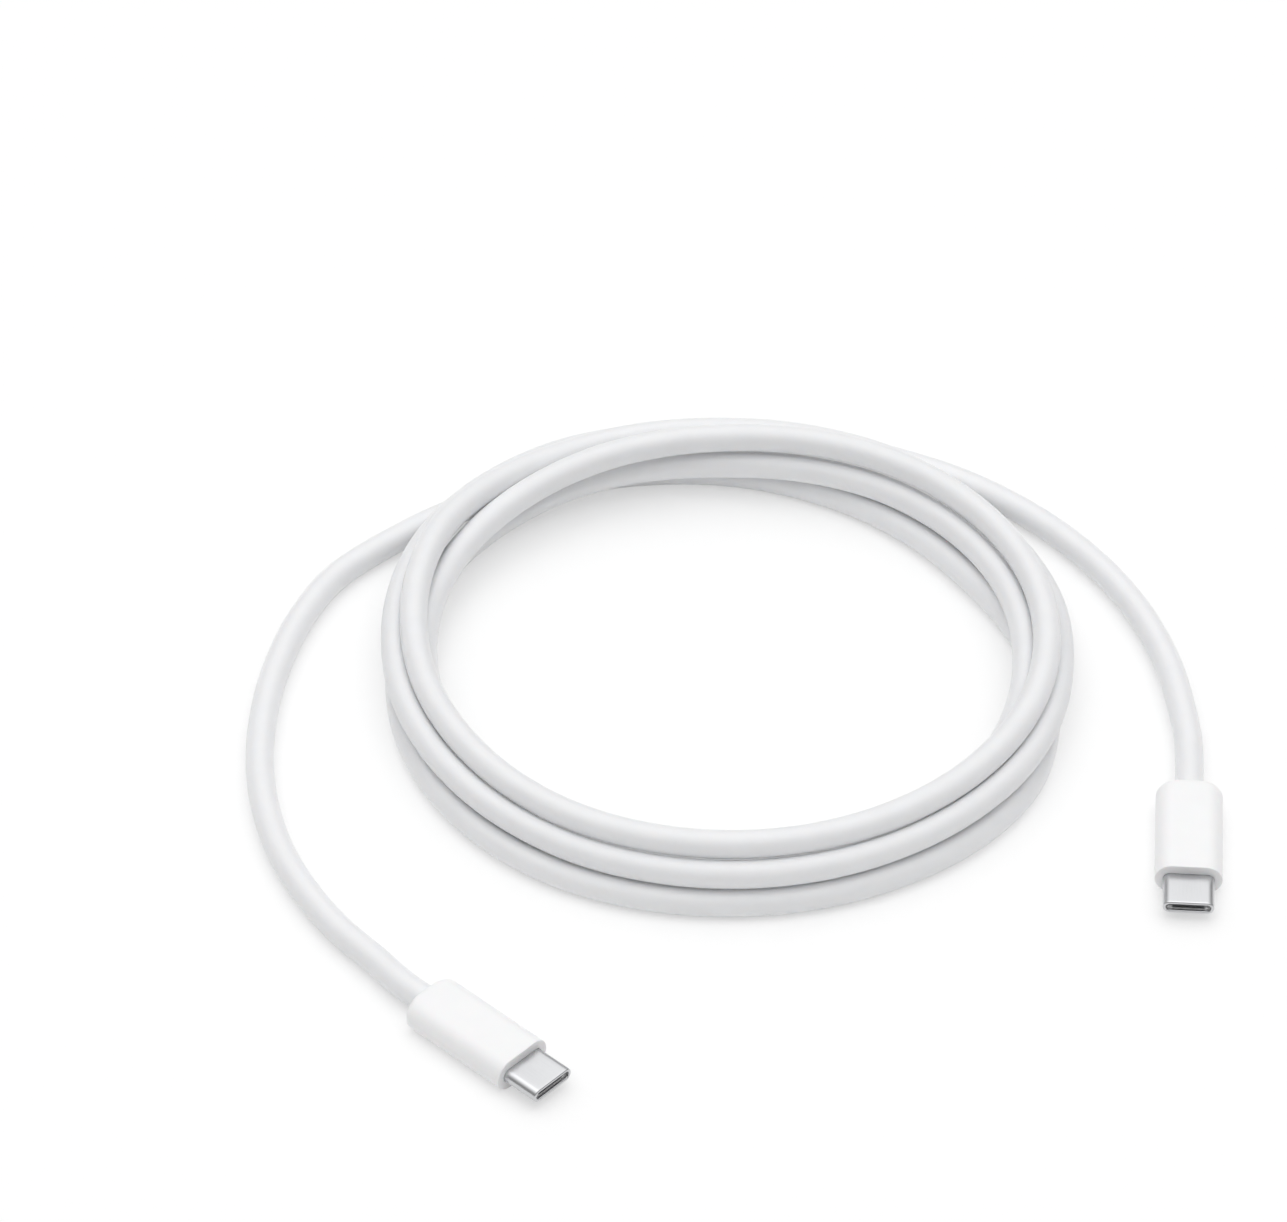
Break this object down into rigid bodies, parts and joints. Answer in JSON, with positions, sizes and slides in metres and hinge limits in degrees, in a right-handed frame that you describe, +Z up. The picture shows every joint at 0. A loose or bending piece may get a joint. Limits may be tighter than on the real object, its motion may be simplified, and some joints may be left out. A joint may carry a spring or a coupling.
{
  "type": "charging cable",
  "caption": "Round white charging cable lying in a loose coil, with a slim reversible oval metal plug in a rounded boot at each end.",
  "frame": {"origin": "on the surface that the cable lies on, under the middle of the box round the two plugs", "axes": "+Z up; +X from the left plug towards the right plug, level, across the direction from which the coil is seen; +Y away from the plugs towards the coil"},
  "size_m": [0.1589, 0.1639, 0.0151],
  "materials": {
    "jacket": "smooth satin white jacket",
    "boot": "smooth white, low gloss",
    "collar": "matt dark grey",
    "steel": "satin drawn stainless steel",
    "insulator": "matt white",
    "gold": "gold plated",
    "board": "green lacquered board",
    "chip": "black moulded chip",
    "red": "red insulation",
    "black": "black insulation",
    "green": "green insulation",
    "white": "white insulation"
  },
  "bodies": {
    "cable": {"cord_tail_left": "jacket", "cord_coil": "jacket", "cord_tail_right": "jacket", "left_boot": "boot", "left_collar": "collar", "left_shell": "steel", "left_insulator": "insulator", "left_contact_a1": "gold", "left_contact_a4": "gold", "left_contact_a5": "gold", "left_contact_a6": "gold", "left_contact_a7": "gold", "left_contact_a9": "gold", "left_contact_a12": "gold", "left_contact_b1": "gold", "left_contact_b4": "gold", "left_contact_b5": "gold", "left_contact_b9": "gold", "left_contact_b12": "gold", "left_ground_spring_top": "steel", "left_ground_spring_bottom": "steel", "left_card": "board", "left_marker_chip": "chip", "left_shield_can": "steel", "left_crimp_ferrule": "steel", "left_wire_supply": "red", "left_wire_ground": "black", "left_wire_data_plus": "green", "left_wire_data_minus": "white", "right_boot": "boot", "right_collar": "collar", "right_shell": "steel", "right_insulator": "insulator", "right_contact_a1": "gold", "right_contact_a4": "gold", "right_contact_a5": "gold", "right_contact_a6": "gold", "right_contact_a7": "gold", "right_contact_a9": "gold", "right_contact_a12": "gold", "right_contact_b1": "gold", "right_contact_b4": "gold", "right_contact_b5": "gold", "right_contact_b9": "gold", "right_contact_b12": "gold", "right_ground_spring_top": "steel", "right_ground_spring_bottom": "steel", "right_card": "board", "right_marker_chip": "chip", "right_shield_can": "steel", "right_crimp_ferrule": "steel", "right_wire_supply": "red", "right_wire_ground": "black", "right_wire_data_plus": "green", "right_wire_data_minus": "white"},
    "left_side_spring_port": {"left_latch_port": "steel"},
    "left_side_spring_starboard": {"left_latch_starboard": "steel"},
    "right_side_spring_port": {"right_latch_port": "steel"},
    "right_side_spring_starboard": {"right_latch_starboard": "steel"}
  },
  "joints": [
    {"name": "left_latch_port_flex", "type": "hinge", "parent": "cable", "child": "left_side_spring_port", "pos_m": [-0.04695, -0.02298, 0.00282], "axis": [0, 0, 1], "range_deg": [0, 2], "stiffness_Nm_per_rad": 0.01},
    {"name": "left_latch_starboard_flex", "type": "hinge", "parent": "cable", "child": "left_side_spring_starboard", "pos_m": [-0.05181, -0.02815, 0.00282], "axis": [0, 0, -1], "range_deg": [0, 2], "stiffness_Nm_per_rad": 0.01},
    {"name": "right_latch_port_flex", "type": "hinge", "parent": "cable", "child": "right_side_spring_port", "pos_m": [0.06265, 0.0169, 0.00282], "axis": [0, 0, 1], "range_deg": [0, 2], "stiffness_Nm_per_rad": 0.01},
    {"name": "right_latch_starboard_flex", "type": "hinge", "parent": "cable", "child": "right_side_spring_starboard", "pos_m": [0.05557, 0.01738, 0.00282], "axis": [0, 0, -1], "range_deg": [0, 2], "stiffness_Nm_per_rad": 0.01}
  ]
}
